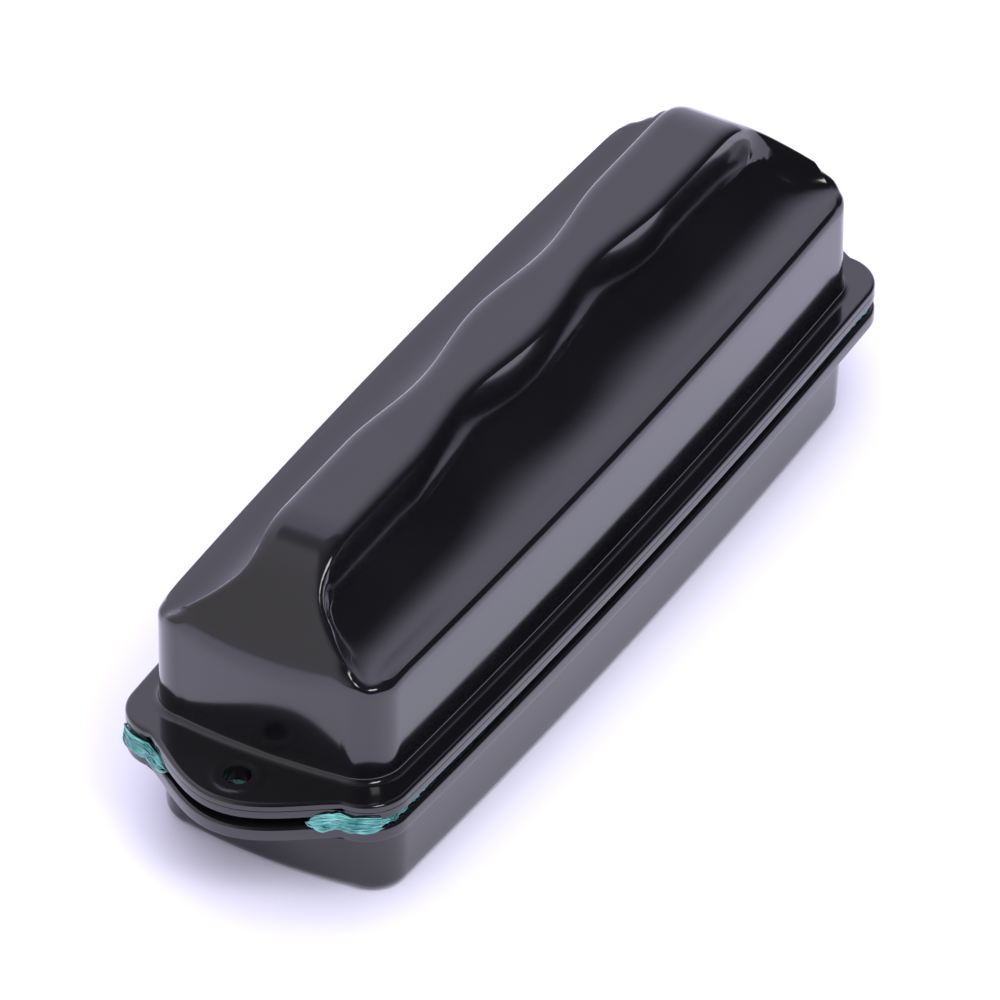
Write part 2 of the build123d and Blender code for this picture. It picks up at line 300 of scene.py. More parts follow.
# ---------------------------------------------------------------- material helpers
class Nodes:
    """A short way to write a material's node tree."""

    def __init__(self, name):
        self.mat = bpy.data.materials.new(name)
        self.mat.use_nodes = True
        self.tree = self.mat.node_tree
        self.bsdf = self.tree.nodes["Principled BSDF"]
        self.coords = self.tree.nodes.new("ShaderNodeTexCoord").outputs["Object"]

    def link(self, a, b):
        self.tree.links.new(a, b)

    def noise(self, scale, detail=3.0, rough=0.5, stretch=None, distortion=0.0):
        n = self.tree.nodes.new("ShaderNodeTexNoise")
        n.inputs["Scale"].default_value = scale
        n.inputs["Detail"].default_value = detail
        n.inputs["Roughness"].default_value = rough
        n.inputs["Distortion"].default_value = distortion
        self.link(self.mapped(stretch), n.inputs["Vector"])
        return n.outputs["Fac"]

    def mapped(self, stretch):
        if stretch is None:
            return self.coords
        m = self.tree.nodes.new("ShaderNodeMapping")
        m.inputs["Scale"].default_value = stretch
        self.link(self.coords, m.inputs["Vector"])
        return m.outputs["Vector"]

    def wave(self, scale, distortion, direction):
        n = self.tree.nodes.new("ShaderNodeTexWave")
        n.bands_direction = direction
        n.inputs["Scale"].default_value = scale
        n.inputs["Distortion"].default_value = distortion
        n.inputs["Detail"].default_value = 2.0
        n.inputs["Detail Scale"].default_value = 1.5
        self.link(self.coords, n.inputs["Vector"])
        return n.outputs["Fac"]

    def ramp(self, value, stops):
        n = self.tree.nodes.new("ShaderNodeValToRGB")
        ramp = n.color_ramp
        while len(ramp.elements) < len(stops):
            ramp.elements.new(0.5)
        for e, (pos, colour) in zip(ramp.elements, stops):
            e.position = pos
            e.color = (*colour, 1)
        self.link(value, n.inputs["Fac"])
        return n.outputs["Color"]

    def span(self, value, low, high):
        """Maps 0 to 1 onto low to high."""
        n = self.tree.nodes.new("ShaderNodeMapRange")
        n.inputs["To Min"].default_value = low
        n.inputs["To Max"].default_value = high
        self.link(value, n.inputs["Value"])
        return n.outputs["Result"]

    def add(self, a, b, share=1.0):
        """a plus a share of b."""
        n = self.tree.nodes.new("ShaderNodeMath")
        n.operation = "MULTIPLY_ADD"
        self.link(b, n.inputs[0])
        n.inputs[1].default_value = share
        self.link(a, n.inputs[2])
        return n.outputs[0]

    def bump(self, value, distance, strength=1.0):
        n = self.tree.nodes.new("ShaderNodeBump")
        n.inputs["Distance"].default_value = distance
        n.inputs["Strength"].default_value = strength
        self.link(value, n.inputs["Height"])
        self.link(n.outputs["Normal"], self.bsdf.inputs["Normal"])

    def set(self, **values):
        """Sets or links the shader's own sockets, named with _ for a space."""
        for key, value in values.items():
            name = key.replace("_", " ")
            target = self.bsdf.inputs[name]
            if hasattr(value, "links"):
                self.link(value, target)
            else:
                target.default_value = value


def gloss_black():
    m = Nodes("gloss_black_plastic")
    cloud = m.noise(60, 3, 0.5)
    colour = m.ramp(cloud, [(0.3, (0.0035, 0.0035, 0.0045)), (0.7, (0.006, 0.006, 0.0075))])
    rough = m.add(m.span(m.noise(140, 4, 0.6), 0.085, 0.15), m.noise(2600, 2, 0.5), 0.02)
    m.set(Base_Color=colour, Roughness=rough, IOR=1.6)
    m.bsdf.inputs["Coat Weight"].default_value = 0.25
    m.bsdf.inputs["Coat Roughness"].default_value = 0.04
    swell = m.noise(95, 2, 0.4)
    m.bump(m.add(swell, m.noise(1500, 3, 0.6), 0.012), 0.00006, 0.35)
    return m.mat


def scouring():
    m = Nodes("scouring_cloth")
    strand = m.wave(900, 6.0, "X")
    cross = m.wave(820, 7.0, "Y")
    tangle = m.noise(900, 5, 0.7)
    colour = m.ramp(tangle, [
        (0.25, (0.012, 0.09, 0.08)), (0.5, (0.05, 0.27, 0.24)), (0.78, (0.22, 0.55, 0.5)),
    ])
    m.set(Base_Color=colour, Roughness=m.span(tangle, 0.5, 0.22), IOR=1.5)
    m.bsdf.inputs["Sheen Weight"].default_value = 0.3
    m.bsdf.inputs["Sheen Roughness"].default_value = 0.4
    m.bump(m.add(m.add(strand, cross), tangle, 1.4), 0.00022, 0.8)
    return m.mat


def fibre():
    m = Nodes("nylon_fibre")
    tone = m.noise(700, 2, 0.5)
    m.set(
        Base_Color=m.ramp(tone, [(0.3, (0.015, 0.17, 0.17)), (0.7, (0.2, 0.52, 0.52))]),
        Roughness=m.span(tone, 0.16, 0.32), IOR=1.53,
    )
    m.bsdf.inputs["Transmission Weight"].default_value = 0.15
    return m.mat


def felt():
    m = Nodes("black_felt")
    fuzz = m.noise(2400, 6, 0.75, distortion=1.2)
    clump = m.noise(160, 3, 0.6)
    colour = m.ramp(m.add(fuzz, clump, 0.4), [(0.45, (0.006, 0.006, 0.007)), (0.95, (0.045, 0.045, 0.05))])
    m.set(Base_Color=colour, Roughness=m.span(fuzz, 0.88, 1.0), IOR=1.4)
    m.bsdf.inputs["Sheen Weight"].default_value = 0.35
    m.bsdf.inputs["Sheen Roughness"].default_value = 0.6
    m.bump(m.add(fuzz, clump, 0.6), 0.00025, 0.7)
    return m.mat


def simple(name, dark, light, scale, rough, bump, ior=1.45, metallic=0.0, stretch=None):
    """A grained material between two colours, for the pieces inside."""
    m = Nodes(name)
    grain = m.noise(scale, 4, 0.6, stretch=stretch)
    blotch = m.noise(scale / 9, 2, 0.5)
    m.set(
        Base_Color=m.ramp(m.add(grain, blotch, 0.5), [(0.45, dark), (1.0, light)]),
        Roughness=m.span(grain, rough[0], rough[1]), IOR=ior, Metallic=metallic,
    )
    m.bump(grain, bump, 0.6)
    return m.mat


MATERIALS = {
    "gloss_black_plastic": gloss_black(),
    "scouring_cloth": scouring(),
    "black_felt": felt(),
    "frame_plastic": simple(
        "frame_plastic", (0.035, 0.035, 0.038), (0.075, 0.075, 0.08), 900, (0.5, 0.68), 0.00004,
    ),
    "ferrite": simple("ferrite", (0.03, 0.03, 0.032), (0.085, 0.083, 0.08), 1600, (0.55, 0.8), 0.00005),
    "yoke_steel": simple(
        "yoke_steel", (0.46, 0.47, 0.49), (0.68, 0.69, 0.7), 260, (0.28, 0.42), 0.00001,
        ior=2.5, metallic=1.0, stretch=(0.12, 6.0, 6.0),
    ),
    "foam": simple("foam", (0.03, 0.03, 0.032), (0.12, 0.12, 0.125), 1300, (0.9, 1.0), 0.0002),
    "adhesive_film": simple(
        "adhesive_film", (0.62, 0.59, 0.5), (0.85, 0.83, 0.76), 500, (0.35, 0.5), 0.00001,
    ),
    "seal_rubber": simple(
        "seal_rubber", (0.012, 0.012, 0.012), (0.03, 0.03, 0.03), 1100, (0.6, 0.75), 0.00004,
    ),
}
FIBRE = fibre()
PLASTIC = MATERIALS["gloss_black_plastic"]

for subpart in frame["record"]["subparts"]:
    for slot in frame["nodes"][subpart["node"]].material_slots:
        slot.material = MATERIALS[subpart["material_slot"]]


# ---------------------------------------------------------------- camera
AZIMUTH, ELEVATION = math.radians(-59.86), math.radians(38.0)
DISTANCE = 1.5075  # from the point aimed at
AIM_RIGHT, AIM_UP = -0.00078, 0.01124  # of that point from the origin, across the view
LENS, SENSOR = 507.8, 36
back = Vector((
    math.sin(AZIMUTH) * math.cos(ELEVATION), -math.cos(AZIMUTH) * math.cos(ELEVATION), math.sin(ELEVATION),
))
right = Vector((math.cos(AZIMUTH), math.sin(AZIMUTH), 0))
up = back.cross(right)
aim = right * AIM_RIGHT + up * AIM_UP
camera_data = bpy.data.cameras.new("camera")
camera_data.lens = LENS
camera_data.sensor_width = SENSOR
camera_data.clip_end = 50
camera = bpy.data.objects.new("camera", camera_data)
turn = Matrix((right, up, back)).transposed().to_4x4()
camera.matrix_world = Matrix.Translation(aim + back * DISTANCE) @ turn
bpy.context.scene.collection.objects.link(camera)
bpy.context.scene.camera = camera


# ---------------------------------------------------------------- studio
LIGHT_TARGET = Vector((0, 0, 0.02))


def area_light(name, direction, distance, size, power):
    """A rectangular light that faces the object from a direction."""
    data = bpy.data.lights.new(name, "AREA")
    data.shape = "RECTANGLE"
    data.size, data.size_y = size
    data.energy = power
    light = bpy.data.objects.new(name, data)
    d = Vector(direction).normalized()
    light.location = LIGHT_TARGET + d * distance
    light.rotation_euler = d.to_track_quat("Z", "Y").to_euler()
    bpy.context.scene.collection.objects.link(light)
    return light


def floor_piece():
    bm = bmesh.new()
    steps = 24
    reach = 2.2
    places = [lerp(-reach, reach, i / steps) for i in range(steps + 1)]
    grid = [[bm.verts.new((x, y, 0)) for y in places] for x in places]
    for i in range(steps):
        for j in range(steps):
            bm.faces.new((grid[i][j], grid[i + 1][j], grid[i + 1][j + 1], grid[i][j + 1]))
    mesh = bpy.data.meshes.new("floor")
    bm.to_mesh(mesh)
    bm.free()
    m = Nodes("pale_floor")
    mottle = m.noise(6, 3, 0.5)
    m.set(
        Base_Color=m.ramp(mottle, [(0.3, (0.765, 0.75, 0.92)), (0.7, (0.795, 0.78, 0.95))]),
        Roughness=m.span(mottle, 0.75, 0.85), IOR=1.3,
    )
    mesh.materials.append(m.mat)
    piece = bpy.data.objects.new("floor", mesh)
    bpy.context.scene.collection.objects.link(piece)


def world_light():
    """A pale backdrop behind the object and a dim room on its near side."""
    world = bpy.data.worlds.new("studio")
    bpy.context.scene.world = world
    world.use_nodes = True
    tree = world.node_tree
    coords = tree.nodes.new("ShaderNodeTexCoord")
    split = tree.nodes.new("ShaderNodeSeparateXYZ")
    tree.links.new(coords.outputs["Generated"], split.inputs[0])

    def fade(axis, start, end, low, high):
        n = tree.nodes.new("ShaderNodeMapRange")
        n.interpolation_type = "SMOOTHSTEP"
        for key, value in zip(("From Min", "From Max", "To Min", "To Max"), (start, end, low, high)):
            n.inputs[key].default_value = value
        tree.links.new(split.outputs[axis], n.inputs["Value"])
        return n.outputs["Result"]

    def times(a, b):
        n = tree.nodes.new("ShaderNodeMath")
        n.operation = "MULTIPLY"
        tree.links.new(a, n.inputs[0])
        tree.links.new(b, n.inputs[1])
        return n.outputs[0]

    # brighter towards +Y and +X, which are away from the camera, and dimmer straight above
    along_y = fade("Y", -0.4, 0.38, 0.03, 1.12)
    along_x = fade("X", -0.7, 0.3, 0.62, 1.0)
    upwards = fade("Z", 0.86, 0.92, 1.0, 0.3)
    glow = times(times(along_y, along_x), upwards)
    shade = tree.nodes["Background"]
    tint = tree.nodes.new("ShaderNodeValToRGB")
    tint.color_ramp.elements[0].color = (0.96, 0.91, 0.97, 1)
    tint.color_ramp.elements[1].color = (0.88, 0.84, 1.08, 1)
    tree.links.new(fade("X", -0.6, 0.4, 0.0, 1.0), tint.inputs["Fac"])
    tree.links.new(tint.outputs["Color"], shade.inputs["Color"])
    tree.links.new(glow, shade.inputs["Strength"])


floor_piece()
world_light()
overhead = area_light("overhead", (0.05, -0.1, 1), 1.1, (1.3, 1.3), 12.0)
overhead.visible_glossy = False
side_fill = area_light("side_fill", (-0.9, -0.75, 1.0), 1.0, (1.0, 1.0), 10.0)
side_fill.visible_glossy = False
area_light("key", (-0.3, -0.56, 0.75), 1.2, (0.34, 0.34), 3.0)
bpy.context.scene.view_settings.view_transform = "Standard"


# ---------------------------------------------------------------- the grip's own shape
def block_half_width(x):
    """Half the block's width at a station along it, between its corners."""
    reach = BLOCK_HALF - BLOCK_BOW - BLOCK_CORNER
    return BLOCK_MID / 2 - (BLOCK_MID - BLOCK_END) / 2 * (x / reach) ** 2


def ridge_edge(x):
    """The ridge's half width at a station, which spreads out at both ends."""
    edge = RIDGE_WIDTH / 2
    sweep = min(max((abs(x) - END_START) / END_RUN, 0), 1) ** END_POWER
    return edge + (block_half_width(x) - END_LEDGE - edge) * sweep


HIP_RUN = BLOCK_HALF - RIDGE_HALF
HIP_SLANT = math.hypot(HIP_RUN, RIDGE_RISE)
HIP_EDGE = 1.3  # height over which the ridge's top rounds into the end slope


def hip_circle():
    """Centre and radius of the arc that each end slope follows."""
    a = (RIDGE_HALF, Z_TOP)
    b = (
        (RIDGE_HALF + BLOCK_HALF) / 2 + HIP_BULGE * RIDGE_RISE / HIP_SLANT,
        (Z_TOP + Z_LIP) / 2 + HIP_BULGE * HIP_RUN / HIP_SLANT,
    )
    c = (BLOCK_HALF, Z_LIP)
    m11, m12 = 2 * (b[0] - a[0]), 2 * (b[1] - a[1])
    m21, m22 = 2 * (c[0] - a[0]), 2 * (c[1] - a[1])
    r1 = b[0] ** 2 + b[1] ** 2 - a[0] ** 2 - a[1] ** 2
    r2 = c[0] ** 2 + c[1] ** 2 - a[0] ** 2 - a[1] ** 2
    det = m11 * m22 - m12 * m21
    cx, cz = (r1 * m22 - r2 * m12) / det, (m11 * r2 - m21 * r1) / det
    return cx, cz, math.hypot(a[0] - cx, a[1] - cz)


HIP_X, HIP_Z, HIP_R = hip_circle()


def envelope(x):
    """The ridge's top and the end slopes, with a soft edge between them."""
    x = abs(x)
    if x < HIP_X:
        return Z_TOP
    slope = HIP_Z + math.sqrt(max(HIP_R**2 - (x - HIP_X) ** 2, 0))
    return soft_min(Z_TOP, slope, HIP_EDGE)


SHOULDER = 0.8  # height of the ridge's rounded edges
SHOULDER_SPREAD = 2.2  # how much wider than high that rounding is
SHOULDER_SHARE = 0.4  # the most of the flank's height that the rounding takes
LEAST_SHOULDER = 0.05
FLANK_STEEPNESS = 40.0  # fall for each millimetre outwards
FLANK_END_STEEPNESS = 1.5
FLANK_EASES_FROM, FLANK_EASES_OVER = 42.5, 4.5
FLOOR_DROP = 10.5  # from the ridge's top to the scoop's lowest line
FOOT_RISE = 4.3  # height of the hollow curve between the flank and that line
FOOT_SHARE = 0.68  # its share of the way out to the lip
FULL_ROOM = 10.0  # width of the scoop from which that curve has its whole height
LEAST_ROOM = 0.6  # the least width reckoned with
BANK_SHARE = 0.93  # where the nearly level bank ends and the climb to the lip starts
BANK_RISE = 0.08
FOOT_BLEND, TOP_BLEND = 0.35, 0.5  # roundings where the flank meets the floor and the top
BLUR = 0.75  # radius of the ring that the ends are averaged over
BLUR_GROWS_OVER = 4
BLUR_LEAST = 0.01
BLUR_SPOKES = 8
BLUR_RINGS = (0.5, 1.0)  # shares of that radius
BLUR_MIDDLE = 2  # weight of the middle, where each point of the rings has 1


def finger_edge(x):
    """The ridge's edge at a station, drawn in where the fingers go."""
    hollow = (1 - math.cos(2 * math.pi * x / FINGER_PITCH)) / 2 if abs(x) < FINGER_PITCH else 0
    return ridge_edge(x) - FINGER_DEPTH * hollow


def raw_height(x, y):
    """The grip's top before its ends are softened."""
    top = envelope(x)
    y = abs(y)
    inner, outer = finger_edge(x), ridge_edge(x)
    lip = block_half_width(x)
    room = max(lip - outer, LEAST_ROOM)
    low = Z_TOP - FLOOR_DROP
    rise = FOOT_RISE * min(room / FULL_ROOM, 1)
    corner = min(max((top - low - rise) * SHOULDER_SHARE, LEAST_SHOULDER), SHOULDER)
    u = y - inner
    wide = corner * SHOULDER_SPREAD
    if u <= -wide:
        return top
    if u <= 0:
        return top - corner + corner * math.sqrt(max(1 - (u / wide + 1) ** 2, 0))
    foot_end = outer + FOOT_SHARE * room
    bank_end = outer + BANK_SHARE * room
    if y < foot_end:
        floor = low + rise * ((foot_end - y) / (foot_end - inner)) ** 2
    elif y < bank_end:
        floor = low + BANK_RISE * smooth((y - foot_end) / (bank_end - foot_end))
    else:
        t = (y - bank_end) / (lip - bank_end)
        floor = low + BANK_RISE + (Z_LIP - low - BANK_RISE) * t * t
    ease = smooth((abs(x) - FLANK_EASES_FROM) / FLANK_EASES_OVER)
    flank = top - corner - lerp(FLANK_STEEPNESS, FLANK_END_STEEPNESS, ease) * u
    return soft_min(top, -soft_min(-flank, -floor, FOOT_BLEND), TOP_BLEND)


def grip_height(x, y):
    """The grip's top, averaged over small rings towards its ends to soften their edges."""
    blur = BLUR * smooth((abs(x) - END_START) / BLUR_GROWS_OVER)
    if blur < BLUR_LEAST:
        return raw_height(x, y)
    total = BLUR_MIDDLE * raw_height(x, y)
    for k in range(BLUR_SPOKES):
        a = math.tau * k / BLUR_SPOKES
        for reach in BLUR_RINGS:
            total += raw_height(x + blur * reach * math.cos(a), y + blur * reach * math.sin(a))
    return total / (BLUR_MIDDLE + BLUR_SPOKES * len(BLUR_RINGS))


def grip_column(x, w, t):
    """The y of a column at share t across a row, closer together over the ridge's flank."""
    u = abs(2 * t - 1)
    edge = min(finger_edge(x), w - END_LEDGE)
    room = w - edge
    # shares of the half row, and the distances from the middle line that they reach
    stops = [
        (0.0, 0.0), (0.10, edge - 1.8), (0.36, edge), (0.50, edge + 0.04 * room),
        (0.76, edge + 0.40 * room), (1.0, w),
    ]
    for (u0, y0), (u1, y1) in zip(stops, stops[1:]):
        if u <= u1:
            y = lerp(y0, y1, (u - u0) / (u1 - u0))
            return y if t >= 0.5 else -y
    return w if t >= 0.5 else -w


RING_HEIGHT, RING_R, RING_SPREAD = 0.13, 2.4, 0.45


def bump_ring(x, y):
    """Height of the low raised ring round each tether hole."""
    d = math.hypot(abs(x) - TETHER_X, y)
    return RING_HEIGHT * math.exp(-(((d - RING_R) / RING_SPREAD) ** 2))


def cut_holes(piece, low, high):
    """Bores the two tether holes through a piece."""
    bm = bmesh.new()
    for side in (-1, 1):
        rings = []
        for z in (low, high):
            ring = []
            for k in range(HOLE_SIDES):
                a = math.tau * k / HOLE_SIDES
                x, y = side * TETHER_X + HOLE_R * math.cos(a), HOLE_R * math.sin(a)
                ring.append(bm.verts.new((x * MM, y * MM, z * MM)))
            rings.append(ring)
        for k in range(HOLE_SIDES):
            n = (k + 1) % HOLE_SIDES
            bm.faces.new((rings[0][k], rings[0][n], rings[1][n], rings[1][k]))
        bm.faces.new(list(reversed(rings[0])))
        bm.faces.new(rings[1])
    bmesh.ops.recalc_face_normals(bm, faces=bm.faces)
    mesh = bpy.data.meshes.new("bore")
    bm.to_mesh(mesh)
    bm.free()
    cutter = bpy.data.objects.new("bore", mesh)
    bpy.context.scene.collection.objects.link(cutter)
    modifier = piece.modifiers.new("bore", "BOOLEAN")
    modifier.operation = "DIFFERENCE"
    modifier.solver = "EXACT"
    modifier.object = cutter
    depsgraph = bpy.context.evaluated_depsgraph_get()
    cut = bpy.data.meshes.new_from_object(piece.evaluated_get(depsgraph))
    piece.modifiers.clear()
    old = piece.data
    piece.data = cut
    cut.polygons.foreach_set("use_smooth", [True] * len(cut.polygons))
    cut.set_sharp_from_angle(angle=math.radians(SHARP))
    bpy.data.meshes.remove(old)
    bpy.data.objects.remove(cutter)
    bpy.data.meshes.remove(mesh)


def arc(steps):
    """(share out, share down) round a quarter circle, from its top to its side."""
    turns = [math.pi / 2 * k / steps for k in range(1, steps + 1)]
    return [(math.sin(a), 1 - math.cos(a)) for a in turns]


RIM_R, RIM_END_R = 0.55, 1.3  # the rim's rounding, along the sides and over the ends
RIM_SOFTENS_FROM, RIM_SOFTENS_OVER = 46, 5
WALL_SPANS = 8
FOOT_SPANS = 5


def grip_shell():
    """The grip half's shell: top, rim, wall, flange with its ears, and the hollow inside."""
    skin = Skin()
    wall = block_loop(0)
    radius = [
        lerp(RIM_R, RIM_END_R, smooth((abs(x) - RIM_SOFTENS_FROM) / RIM_SOFTENS_OVER)) for x, _ in wall
    ]
    inner = []
    slim = inset_loop(wall, 1.0)
    for (x, y), (sx, sy), r in zip(wall, slim, radius):
        inner.append((x + (sx - x) * r, y + (sy - y) * r))
    top = [(x, y, grip_height(x, y)) for x, y in inner]
    skin.ring(top)

    # the rim, rounded from the top into the wall
    rim = [grip_height(x, y) for x, y in wall]
    steps = 6
    for k in range(1, steps + 1):
        s = k / steps
        ring = []
        for (ix, iy, iz), (x, y), r, corner in zip(top, wall, radius, rim):
            a, b, c = (1 - s) ** 2, 2 * s * (1 - s), s * s
            ring.append((
                a * ix + (b + c) * x, a * iy + (b + c) * y, a * iz + b * corner + c * (corner - r),
            ))
        skin.ring(ring)

    # the wall, and the hollow curve at its foot
    foot = 0.8
    low = Z_FLANGE + foot
    for k in range(1, WALL_SPANS + 1):
        skin.ring([
            (x, y, lerp(corner - r, low, k / WALL_SPANS))
            for (x, y), corner, r in zip(wall, rim, radius)
        ])
    out = inset_loop(wall, -1.0)
    for k in range(1, FOOT_SPANS + 1):
        a = math.pi / 2 * k / FOOT_SPANS
        away, down = foot * (1 - math.cos(a)), foot * math.sin(a)
        skin.ring([
            (x + (ox - x) * away, y + (oy - y) * away, low - down + bump_ring(x, y))
            for (x, y), (ox, oy) in zip(wall, out)
        ])

    # the flange, out to its rounded edge and the seam under it
    base = [(x + (ox - x) * foot, y + (oy - y) * foot) for (x, y), (ox, oy) in zip(wall, out)]
    flange = flange_loop()
    edge = inset_loop(flange, FLANGE_EDGE_R)
    spans = 22
    for k in range(1, spans + 1):
        s = k / spans
        ring = []
        for (x, y), (ex, ey) in zip(base, edge):
            px, py = lerp(x, ex, s), lerp(y, ey, s)
            ring.append((px, py, Z_FLANGE + bump_ring(px, py)))
        skin.ring(ring)
    for away, down in arc(5):
        skin.ring([
            (lerp(ex, x, away), lerp(ey, y, away), Z_FLANGE - FLANGE_EDGE_R * down)
            for (ex, ey), (x, y) in zip(edge, flange)
        ])
    seam = 0.06
    skin.ring([(x, y, Z_BASE + seam) for x, y in flange])
    under = inset_loop(flange, seam)
    skin.ring([(x, y, Z_BASE) for x, y in under])

    # the hollow, which opens downwards
    hollow = block_loop(SHELL_WALL)
    skin.ring([(lerp(x, hx, 0.5), lerp(y, hy, 0.5), Z_BASE) for (x, y), (hx, hy) in zip(under, hollow)])
    skin.ring([(x, y, Z_BASE) for x, y in hollow])
    skin.ring([(x, y, Z_LIP - ROOF) for x, y in hollow])
    skin.cap(skin.last, flat)

    def on_grip(p, t, w):
        y = grip_column(p.x, w, t)
        return Vector((p.x, y, grip_height(p.x, y)))

    skin.cap(skin.first, on_grip)
    piece = make_object("grip_shell", skin.bm, "handle_half", PLASTIC)
    cut_holes(piece, Z_BASE - 1, Z_FLANGE + 1)
    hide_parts("handle_shell")


# ---------------------------------------------------------------- plates and tub
def rounded_plate(name, node, body, loop, low, high, top_r, low_r, recess=None):
    """A plate with softened edges, and a recess (loop, depth) in its underside if asked."""
    skin = Skin()
    inner = inset_loop(loop, top_r)
    skin.ring([(x, y, high) for x, y in inner])
    for away, down in arc(5):
        skin.ring([
            (lerp(ix, x, away), lerp(iy, y, away), high - top_r * down)
            for (ix, iy), (x, y) in zip(inner, loop)
        ])
    skin.ring([(x, y, low + low_r) for x, y in loop])
    under = inset_loop(loop, low_r)
    for away, down in arc(3):
        tuck = 1 - math.sqrt(1 - down**2)
        skin.ring([
            (lerp(x, ux, tuck), lerp(y, uy, tuck), low + low_r * (1 - away))
            for (x, y), (ux, uy) in zip(loop, under)
        ])
    if recess:
        edge, depth = recess
        skin.ring([(x, y, low) for x, y in edge])
        skin.ring([(x, y, low + depth) for x, y in edge])
    skin.cap(skin.last, flat)
    skin.cap(skin.first, flat)
    piece = make_object(name, skin.bm, body, PLASTIC)
    cut_holes(piece, low - 1, high + 1)
    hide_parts(node)


BOTTOM_SPANS = 7


def tub():
    """The scrubber half's tub: floor, inner wall, seal groove, lip, drafted wall and bottom edge."""
    skin = Skin()
    skin.ring([(x, y, TUB_FLOOR) for x, y in tub_loop(TUB_WALL)])
    skin.ring([(x, y, Z_TUB) for x, y in tub_loop(TUB_WALL)])
    groove = (
        (GROOVE_INNER, 0), (GROOVE_INNER, GROOVE_DEPTH), (GROOVE_OUTER, GROOVE_DEPTH), (GROOVE_OUTER, 0),
    )
    for inset, drop in groove:
        skin.ring([(x, y, Z_TUB - drop) for x, y in tub_loop(inset)])
    outer = tub_loop(0)
    inner = inset_loop(outer, TUB_LIP_R)
    skin.ring([(x, y, Z_TUB) for x, y in inner])
    for away, down in arc(3):
        skin.ring([
            (lerp(ix, x, away), lerp(iy, y, away), Z_TUB - TUB_LIP_R * down)
            for (ix, iy), (x, y) in zip(inner, outer)
        ])
    for k in range(1, WALL_SPANS + 1):
        z = lerp(Z_TUB - TUB_LIP_R, TUB_BOTTOM_R, k / WALL_SPANS)
        skin.ring([(x, y, z) for x, y in inset_loop(outer, (Z_TUB - z) * TUB_DRAFT)])
    base = inset_loop(outer, (Z_TUB - TUB_BOTTOM_R) * TUB_DRAFT)
    deep = inset_loop(base, TUB_BOTTOM_R)
    for k in range(1, BOTTOM_SPANS + 1):
        a = math.pi / 2 * k / BOTTOM_SPANS
        away = 1 - math.cos(a)
        skin.ring([
            (lerp(x, dx, away), lerp(y, dy, away), TUB_BOTTOM_R * (1 - math.sin(a)))
            for (x, y), (dx, dy) in zip(base, deep)
        ])
    skin.cap(skin.last, flat)
    skin.cap(skin.first, flat)
    piece = make_object("scrubber_body", skin.bm, "scrubber_half", PLASTIC)
    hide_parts("scrubber_tub")


# ---------------------------------------------------------------- pads
PAD_L, PAD_W = 107.0, 32.2
PAD_SHIFT = -0.6
PAD_CORNER = 3.5
FELT_L, FELT_W = 99.0, 27.6
FELT_CORNER = 2.0
FELT_CLEARANCE = 0.15  # round the felt in its recess
RECESS_DEPTH = 0.5
CLOTH_SHARP = 60  # degrees, as SHARP, for pads
FLUFF_HEIGHT = 0.36  # of the scouring pad's free corners
FLUFF_X, FLUFF_Y, FLUFF_GROWS_OVER = 49, 11.5, 3.5


def corner_lift(x, y):
    """How far the scouring pad's free corners at the -X end fluff up."""
    along = smooth((-x - FLUFF_X) / FLUFF_GROWS_OVER)
    return FLUFF_HEIGHT * along * smooth((abs(y) - FLUFF_Y) / FLUFF_GROWS_OVER)


def scouring_pad():
    """The teal pad on the scrubber half, with a ragged edge and a tangled face."""
    skin = Skin()
    loop = [(x + PAD_SHIFT, y) for x, y in pad_loop(PAD_L, PAD_W, PAD_CORNER)]

    def ragged(x, y, z):
        n = noise.noise(Vector((x * 0.9, y * 0.9, z * 2 + 3)))
        m = noise.noise(Vector((x * 2.7, y * 2.7, z * 3 + 9)))
        return 0.16 * n + 0.1 * m

    thick = Z_PAD - Z_PAD_LOW
    # (inset, share of the thickness) down the edge
    levels = [(0.28, 1.0), (0.08, 0.9), (0.0, 0.7), (0.02, 0.45), (0.0, 0.2), (0.12, 0.05), (0.3, 0.0)]
    for inset, share in levels:
        ring = []
        for (x, y), (ix, iy) in zip(loop, inset_loop(loop, 1.0)):
            a = inset + 0.1 + ragged(x, y, share)
            px, py = x + (ix - x) * a, y + (iy - y) * a
            ring.append((px, py, Z_PAD_LOW + thick * share + corner_lift(px, py)))
        skin.ring(ring)

    def on_top(p, t, w):
        coarse = noise.noise(Vector((p.x * 0.8, p.y * 0.8, 1)))
        n = coarse + 0.6 * noise.noise(Vector((p.x * 2.3, p.y * 2.3, 5)))
        fade = smooth((PAD_W / 2 - abs(p.y)) / 1.5) * smooth((PAD_L / 2 - abs(p.x - PAD_SHIFT)) / 1.5)
        return Vector((p.x, p.y, Z_PAD - 0.09 * fade * (1 + n) / 2 + corner_lift(p.x, p.y)))

    def under(p, t, w):
        return Vector((p.x, p.y, Z_PAD_LOW + corner_lift(p.x, p.y)))

    skin.cap(skin.first, on_top)
    skin.cap(skin.last, under)
    cloth = MATERIALS["scouring_cloth"]
    piece = make_object("scouring_pad", skin.bm, "scrubber_half", cloth, CLOTH_SHARP)
    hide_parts("scrubber_pad")


STRAND_SIDES = 5
STRAND_TIP = 0.35  # a tip's radius as a share of the strand's
LOOPS = 1100  # places tried, of which those by the ears are left out
EAR_CLEAR_X, EAR_CLEAR_Y = 50, 3
LOOP_STEPS = 6
TUFT_STRANDS = 110  # at each of the two corners
TUFT_STEPS = 12
TUFT_BEFORE, TUFT_AFTER = 13, 9  # points of the flange's outline up to its first one, and from it on
TUFT_RUN = 9  # a strand starts at least this many points before the end of that stretch


